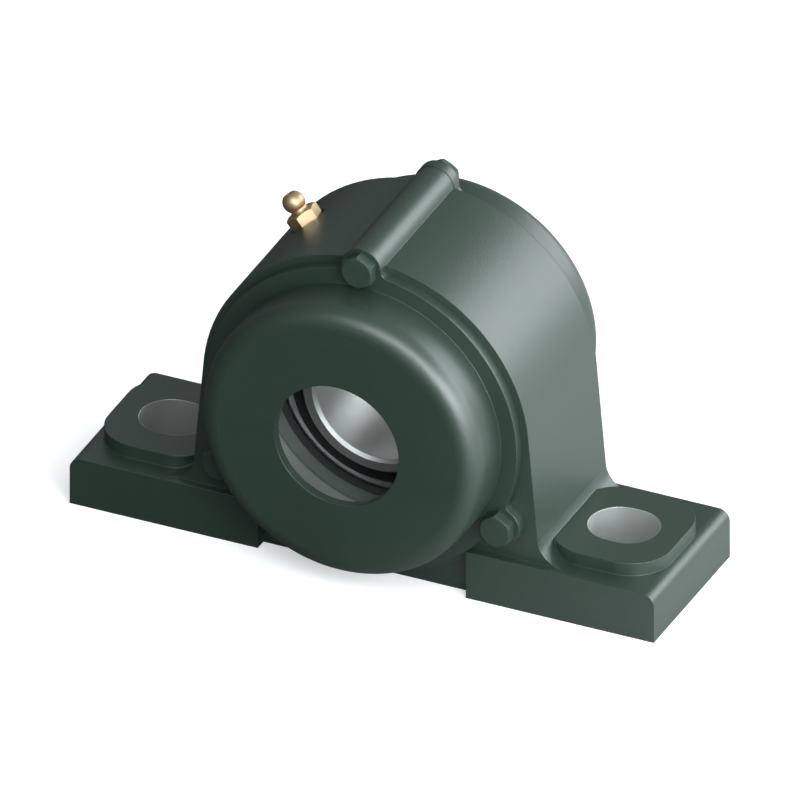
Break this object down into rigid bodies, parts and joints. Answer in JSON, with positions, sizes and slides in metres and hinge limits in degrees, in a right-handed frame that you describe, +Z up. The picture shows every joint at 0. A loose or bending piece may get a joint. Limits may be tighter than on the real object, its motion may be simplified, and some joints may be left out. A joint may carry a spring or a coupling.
{
  "type": "pillow block bearing",
  "caption": "Pillow block bearing: a cast foot housing with bolted end covers holds a self-aligning ball bearing that clamps a round shaft by an adapter sleeve.",
  "frame": {"origin": "middle of the base's underside", "axes": "X runs along the base, Y along the shaft from the front cover to the rear cover, Z up"},
  "size_m": [0.19, 0.0902, 0.1125],
  "materials": {
    "housing_paint": "satin dark green-grey paint on grey iron",
    "cover_paint": "satin dark green-grey paint on pressed or cast iron",
    "screw_steel": "black-green coated steel",
    "nipple_brass": "turned brass",
    "small_steel": "bright steel",
    "ring_steel": "ground ring steel with a dark finish",
    "seal_rubber": "moulded rubber on a steel core",
    "flinger_steel": "pressed steel with a dark finish",
    "sleeve_steel": "turned steel",
    "washer_steel": "stamped steel",
    "cage_nylon": "moulded nylon",
    "ball_steel": "polished steel"
  },
  "bodies": {
    "housing": {"housing": "housing_paint", "front_cover": "cover_paint", "rear_cover": "cover_paint", "front_cover_screws": "screw_steel", "rear_cover_screws": "screw_steel", "grease_nipple": "nipple_brass", "nipple_spring": "small_steel"},
    "check_ball": {"nipple_ball": "small_steel"},
    "outer_ring": {"outer_ring": "ring_steel", "front_seal": "seal_rubber", "rear_seal": "seal_rubber"},
    "inner_ring": {"inner_ring": "ring_steel", "front_flinger": "flinger_steel", "rear_flinger": "flinger_steel", "adapter_sleeve": "sleeve_steel", "lock_washer": "washer_steel", "lock_nut": "sleeve_steel"},
    "cage": {"cage": "cage_nylon"},
    "ball_1": {"ball_1": "ball_steel"},
    "ball_2": {"ball_2": "ball_steel"},
    "ball_3": {"ball_3": "ball_steel"},
    "ball_4": {"ball_4": "ball_steel"},
    "ball_5": {"ball_5": "ball_steel"},
    "ball_6": {"ball_6": "ball_steel"},
    "ball_7": {"ball_7": "ball_steel"},
    "ball_8": {"ball_8": "ball_steel"},
    "ball_9": {"ball_9": "ball_steel"}
  },
  "joints": [
    {"name": "insert_tilt", "type": "hinge", "parent": "housing", "child": "outer_ring", "pos_m": [0, 0, 0.054], "axis": [1, 0, 0], "range_deg": [-1, 1]},
    {"name": "shaft_spin", "type": "hinge", "parent": "outer_ring", "child": "inner_ring", "pos_m": [0, 0, 0.054], "axis": [0, 1, 0], "continuous": true},
    {"name": "cage_spin", "type": "hinge", "parent": "outer_ring", "child": "cage", "pos_m": [0, 0, 0.054], "axis": [0, 1, 0], "continuous": true},
    {"name": "check_ball_slide", "type": "slide", "parent": "housing", "child": "check_ball", "axis": [0.6239, 0, -0.7815], "range_m": [0, 0.0007], "stiffness_N_per_m": 100, "springref_m": -0.0005, "deforming": ["nipple_spring"]},
    {"name": "ball_1_spin", "type": "hinge", "parent": "cage", "child": "ball_1", "pos_m": [0.0249, 0, 0.07489], "axis": [0, 1, 0], "continuous": true},
    {"name": "ball_2_spin", "type": "hinge", "parent": "cage", "child": "ball_2", "pos_m": [0.00564, 0, 0.08601], "axis": [0, 1, 0], "continuous": true},
    {"name": "ball_3_spin", "type": "hinge", "parent": "cage", "child": "ball_3", "pos_m": [-0.01625, 0, 0.08215], "axis": [0, 1, 0], "continuous": true},
    {"name": "ball_4_spin", "type": "hinge", "parent": "cage", "child": "ball_4", "pos_m": [-0.03054, 0, 0.06512], "axis": [0, 1, 0], "continuous": true},
    {"name": "ball_5_spin", "type": "hinge", "parent": "cage", "child": "ball_5", "pos_m": [-0.03054, 0, 0.04288], "axis": [0, 1, 0], "continuous": true},
    {"name": "ball_6_spin", "type": "hinge", "parent": "cage", "child": "ball_6", "pos_m": [-0.01625, 0, 0.02585], "axis": [0, 1, 0], "continuous": true},
    {"name": "ball_7_spin", "type": "hinge", "parent": "cage", "child": "ball_7", "pos_m": [0.00564, 0, 0.02199], "axis": [0, 1, 0], "continuous": true},
    {"name": "ball_8_spin", "type": "hinge", "parent": "cage", "child": "ball_8", "pos_m": [0.0249, 0, 0.03311], "axis": [0, 1, 0], "continuous": true},
    {"name": "ball_9_spin", "type": "hinge", "parent": "cage", "child": "ball_9", "pos_m": [0.0325, 0, 0.054], "axis": [0, 1, 0], "continuous": true}
  ],
  "couplings": [
    {"joint": "cage_spin", "follows": "shaft_spin", "ratio": 0.40231},
    {"joint": "ball_1_spin", "follows": "shaft_spin", "ratio": -2.4614},
    {"joint": "ball_2_spin", "follows": "shaft_spin", "ratio": -2.4614},
    {"joint": "ball_3_spin", "follows": "shaft_spin", "ratio": -2.4614},
    {"joint": "ball_4_spin", "follows": "shaft_spin", "ratio": -2.4614},
    {"joint": "ball_5_spin", "follows": "shaft_spin", "ratio": -2.4614},
    {"joint": "ball_6_spin", "follows": "shaft_spin", "ratio": -2.4614},
    {"joint": "ball_7_spin", "follows": "shaft_spin", "ratio": -2.4614},
    {"joint": "ball_8_spin", "follows": "shaft_spin", "ratio": -2.4614},
    {"joint": "ball_9_spin", "follows": "shaft_spin", "ratio": -2.4614}
  ]
}
